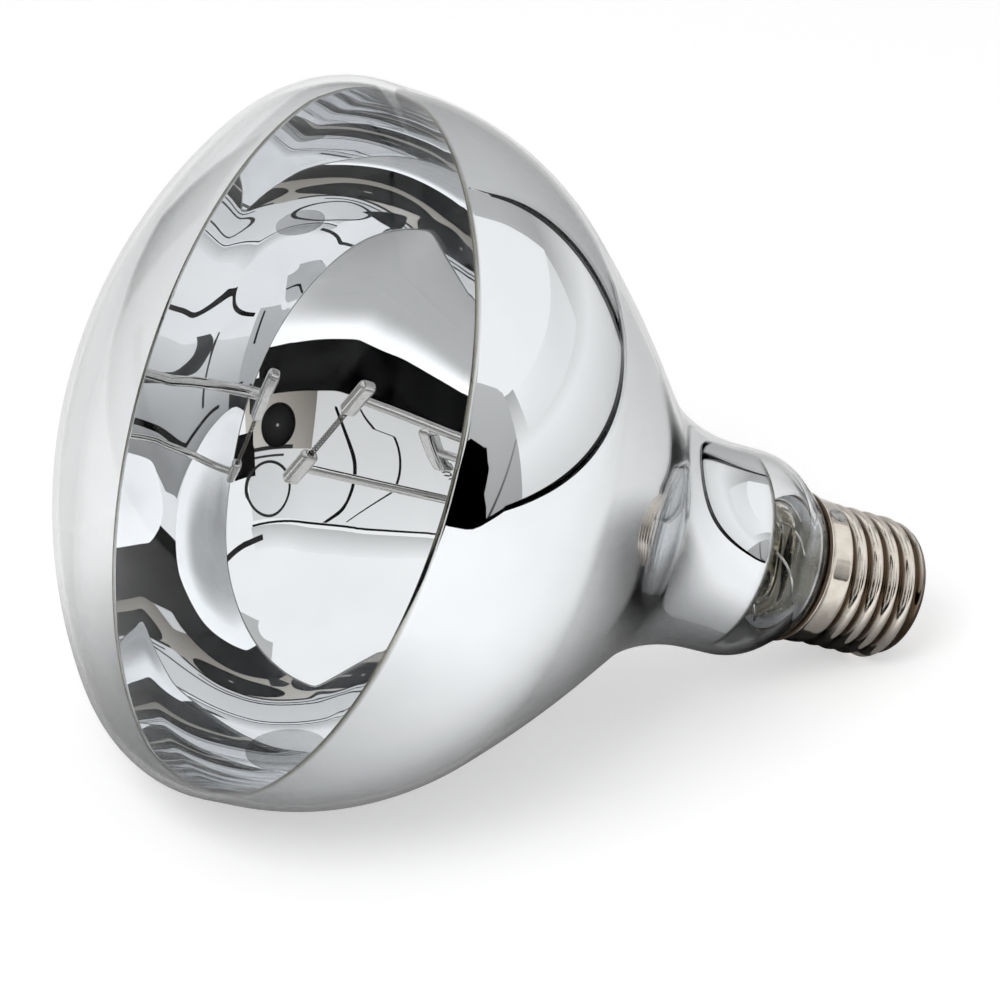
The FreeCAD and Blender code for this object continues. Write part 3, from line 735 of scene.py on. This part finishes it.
# Round cards: name, azimuth, elevation, inner and outer radius in degrees, their greys, and distance
DISCS = (
    ("lens", -110.5, 21, (0.5, 7.5), (40, 0), 2.7),
    ("lens_ring", -106, 42, (8.6, 9.6), (30, 60), 2.7),
)

# Films of painted shadow that dim the table round the lamp, where its shadow falls: name, centre, radii,
# how much they dim, and height
FLOOR_SHADES = (
    ("shade_under", (-0.01, 0.02), (0.11, 0.09), 0.75, 0.0008),
    ("shade_side", (0.075, 0.0), (0.07, 0.05), 0.7, 0.0012),
    ("shade_far", (0.14, 0.22), (0.38, 0.38), 0.2, 0.0004),
    ("shade_front", (-0.13, -0.04), (0.15, 0.16), 0.55, 0.002),
)

# A film of painted shadow on the table under and behind the neck, for the dark streak that the fillet
# before the neck shows: its near edge, how far its far edge is from that, how much light it lets through
# from one to the other, and its height
NECK_SHADOW_LINE = ((0.03, -0.017), (0.05, -0.012), (0.073, -0.007), (0.102, 0.005), (0.127, 0.029),
                  (0.146, 0.067), (0.168, 0.12))
NECK_SHADOW_ACROSS = (-0.012, 0.045)
NECK_SHADOW_LIGHTS = (0.12, 0.03, 0.08, 0.35, 1)
NECK_SHADOW_HEIGHT = 0.0024

# The dark sides of the table, which the mirror shows as lines: name, start, end and height
TABLE_SIDES = (
    ("edge_right", (TABLE_RIGHT, TABLE_NEAR), (TABLE_RIGHT, 0.28), 0.015),
    ("edge_near", (0.06, TABLE_NEAR), (TABLE_RIGHT, TABLE_NEAR), 0.012),
)


def card_material(name, kind):
    """A light or a clear film, emission or transparent, whose tone comes from the card's points."""
    made = bpy.data.materials.new(name)
    made.use_nodes = True
    nodes = made.node_tree.nodes
    nodes.clear()
    tone = nodes.new("ShaderNodeAttribute")
    tone.attribute_name = "tone"
    shader = nodes.new(kind)
    output = nodes.new("ShaderNodeOutputMaterial")
    made.node_tree.links.new(tone.outputs["Color"], shader.inputs["Color"])
    made.node_tree.links.new(shader.outputs[0], output.inputs["Surface"])
    return made


GLOW = card_material("studio_glow", "ShaderNodeEmission")
# A clear film that lays painted shadow on the table
SHADOW_FILM = card_material("painted_shadow_film", "ShaderNodeBsdfTransparent")


def blend(first, second, part):
    return first * (1 - part) + second * part


def srgb(value):
    """A linear colour from screen values to 255: three of them, or one for a grey."""
    values = value if isinstance(value, tuple) else (value, value, value)
    return tuple(((v / 255 + 0.055) / 1.055) ** 2.4 if v > 10 else v / 255 / 12.92 for v in values)


def sky_point(azimuth, elevation, distance):
    level = distance * math.cos(math.radians(elevation))
    height = distance * math.sin(math.radians(elevation))
    return CENTRE + Vector(polar(level, azimuth, height))


def grid_faces(rows, columns):
    """Quads over a grid of points, row by row."""
    across = columns + 1
    return [(row * across + column, row * across + column + 1,
             (row + 1) * across + column + 1, (row + 1) * across + column)
            for row in range(rows) for column in range(columns)]


def card(name, points, faces, tones, finish):
    """A stage piece that only reflections and refractions see."""
    mesh = bpy.data.meshes.new(name)
    mesh.from_pydata(points, [], faces)
    shade = mesh.attributes.new("tone", "FLOAT_COLOR", "POINT")
    for index, tone in enumerate(tones):
        shade.data[index].color = (*tone, 1)
    piece = bpy.data.objects.new(name, mesh)
    bpy.context.scene.collection.objects.link(piece)
    mesh.materials.append(finish)
    piece.visible_camera = False
    piece.visible_diffuse = False
    piece.visible_shadow = False


def panel(name, low, high, values, distance):
    """A curved card round the lamp, from its low edge's two corners to its high edge's.

    It grades between two greys, low to high, or between four values, one at each corner.
    """
    if len(values) == 2:
        values = (values[0], values[0], values[1], values[1])
    low_left, low_right, high_left, high_right = (np.array(srgb(value)) for value in values)
    points, tones = [], []
    for row in range(PANEL_STEPS + 1):
        up = row / PANEL_STEPS
        left = blend(np.array(low[0]), np.array(high[0]), up)
        right = blend(np.array(low[1]), np.array(high[1]), up)
        for column in range(PANEL_STEPS + 1):
            along = column / PANEL_STEPS
            points.append(sky_point(*blend(left, right, along), distance))
            tones.append(blend(blend(low_left, high_left, up), blend(low_right, high_right, up), along))
    card(name, points, grid_faces(PANEL_STEPS, PANEL_STEPS), tones, GLOW)


def disc(name, azimuth, elevation, radii, values, distance):
    """A round card, with a hole, that grades from its inner to its outer radius."""
    squeeze = math.cos(math.radians(elevation))
    points, tones = [], []
    for radius, value in zip(radii, values):
        for index in range(ROUND_STEPS):
            x, y, _ = polar(radius, 360 * index / ROUND_STEPS, 0)
            points.append(sky_point(azimuth + x / squeeze, elevation + y, distance))
            tones.append(srgb(value))
    card(name, points, ring_faces(2, ROUND_STEPS), tones, GLOW)


def floor_shade(name, centre, radii, dim, height):
    """A patch of painted shadow that dims the table under it and fades out, as the mirror and the glass
    show it.
    """
    points, tones = [], []
    for ring in range(SHADE_STEPS + 1):
        far = ring / SHADE_STEPS
        for index in range(ROUND_STEPS):
            x, y, _ = polar(far, 360 * index / ROUND_STEPS, 0)
            points.append((centre[0] + radii[0] * x, centre[1] + radii[1] * y, height))
            tones.append((1 - dim * (1 - smoothstep(SHADE_CORE, 1, far)),) * 3)
    card(name, points, ring_faces(SHADE_STEPS + 1, ROUND_STEPS), tones, SHADOW_FILM)


def floor_shadow_band(name, line, across, lights, height):
    """A film of painted shadow along a line on the table, fading at the line's ends, with its lights
    across it.
    """
    points, tones = [], []
    for row, light in enumerate(lights):
        part = row / (len(lights) - 1)
        for index, (x, y) in enumerate(line):
            points.append((x + across[0] * part, y + across[1] * part, height))
            tones.append((light if 0 < index < len(line) - 1 else 1,) * 3)
    card(name, points, grid_faces(len(lights) - 1, len(line) - 1), tones, SHADOW_FILM)


def table_side(name, start, end, height):
    """A black strip that stands on the table's edge."""
    points = [(*start, 0), (*end, 0), (*end, height), (*start, height)]
    card(name, points, [(0, 1, 2, 3)], [(0, 0, 0)] * 4, GLOW)


def add_flags(tree):
    """An output that is 1 for camera, glossy and transmission rays, and 0 for others."""
    path = tree.nodes.new("ShaderNodeLightPath")
    total = path.outputs["Is Camera Ray"]
    for flag in ("Is Glossy Ray", "Is Transmission Ray"):
        either = tree.nodes.new("ShaderNodeMath")
        either.operation = "MAXIMUM"
        tree.links.new(total, either.inputs[0])
        tree.links.new(path.outputs[flag], either.inputs[1])
        total = either.outputs["Value"]
    return total


def add_table():
    """A top that is lifted to white for the camera and in reflections, and keeps the lamp's shadow."""
    mesh = bpy.data.meshes.new("table")
    corners = [(TABLE_RIGHT, TABLE_NEAR, 0), (TABLE_RIGHT, TABLE_FAR, 0), (TABLE_LEFT, TABLE_FAR, 0)]
    corners += [tuple(polar(TABLE_CORNER, angle, 0)) for angle in TABLE_CORNER_TURNS]
    mesh.from_pydata(corners, [], [tuple(range(len(corners)))])
    top = bpy.data.objects.new("table", mesh)
    bpy.context.scene.collection.objects.link(top)
    made = bpy.data.materials.new("table")
    made.use_nodes = True
    nodes = made.node_tree.nodes
    link = made.node_tree.links.new
    nodes.clear()
    white = nodes.new("ShaderNodeBsdfDiffuse")
    white.inputs["Color"].default_value = (TABLE_GREY, TABLE_GREY, TABLE_GREY, 1)
    lift = nodes.new("ShaderNodeEmission")
    lift.inputs["Strength"].default_value = TABLE_LIFT
    both = nodes.new("ShaderNodeAddShader")
    switch = nodes.new("ShaderNodeMixShader")
    output = nodes.new("ShaderNodeOutputMaterial")
    link(white.outputs["BSDF"], both.inputs[0])
    link(lift.outputs["Emission"], both.inputs[1])
    link(add_flags(made.node_tree), switch.inputs["Fac"])
    link(white.outputs["BSDF"], switch.inputs[1])
    link(both.outputs["Shader"], switch.inputs[2])
    link(switch.outputs["Shader"], output.inputs["Surface"])
    mesh.materials.append(made)


def add_sky():
    """Soft light from all round, and white where the camera, metal or glass sees it."""
    world = bpy.data.worlds.new("studio")
    bpy.context.scene.world = world
    world.use_nodes = True
    tree = world.node_tree
    tree.nodes.clear()
    switch = tree.nodes.new("ShaderNodeMixShader")
    output = tree.nodes.new("ShaderNodeOutputWorld")
    tree.links.new(add_flags(tree), switch.inputs["Fac"])
    for index, strength in enumerate((SKY_LIGHT, 1.0), 1):
        source = tree.nodes.new("ShaderNodeBackground")
        source.inputs["Color"].default_value = (1, 1, 1, 1)
        source.inputs["Strength"].default_value = strength
        tree.links.new(source.outputs["Background"], switch.inputs[index])
    tree.links.new(switch.outputs["Shader"], output.inputs["Surface"])


def add_key():
    """A soft light from the camera's upper left that metal and glass don't show."""
    light = bpy.data.lights.new("key", "AREA")
    light.energy = KEY_POWER
    light.size = KEY_SIZE
    piece = bpy.data.objects.new("key", light)
    piece.location = CENTRE + KEY_PLACE
    piece.rotation_euler = (-KEY_PLACE).to_track_quat("-Z", "Y").to_euler()
    piece.visible_glossy = False
    piece.visible_transmission = False
    bpy.context.scene.collection.objects.link(piece)


def add_camera():
    camera = bpy.data.objects.new("camera", bpy.data.cameras.new("camera"))
    bpy.context.scene.collection.objects.link(camera)
    camera.data.lens = CAMERA_LENS
    camera.data.sensor_width = CAMERA_SENSOR
    camera.data.clip_start = CAMERA_NEAR
    turn = Matrix((CAMERA_RIGHT, CAMERA_UP, CAMERA_RIGHT.cross(CAMERA_UP))).transposed().to_4x4()
    camera.matrix_world = Matrix.Translation(CAMERA_PLACE) @ turn
    bpy.context.scene.camera = camera


for row in PANELS:
    panel(*row)
for row in DISCS:
    disc(*row)
# Painted shadow of the lamp on the table
for row in FLOOR_SHADES:
    floor_shade(*row)
# Painted shadow of the lamp's neck on the table
floor_shadow_band("neck_shadow_band", NECK_SHADOW_LINE, NECK_SHADOW_ACROSS, NECK_SHADOW_LIGHTS, NECK_SHADOW_HEIGHT)
for row in TABLE_SIDES:
    table_side(*row)
add_table()
add_sky()
add_key()
add_camera()
bpy.context.scene.view_settings.view_transform = "Standard"

# Enough for a ray that comes in through the face, goes round the mirror and leaves again
bpy.context.scene.cycles.max_bounces = 16
bpy.context.scene.cycles.glossy_bounces = 10
bpy.context.scene.cycles.transmission_bounces = 12
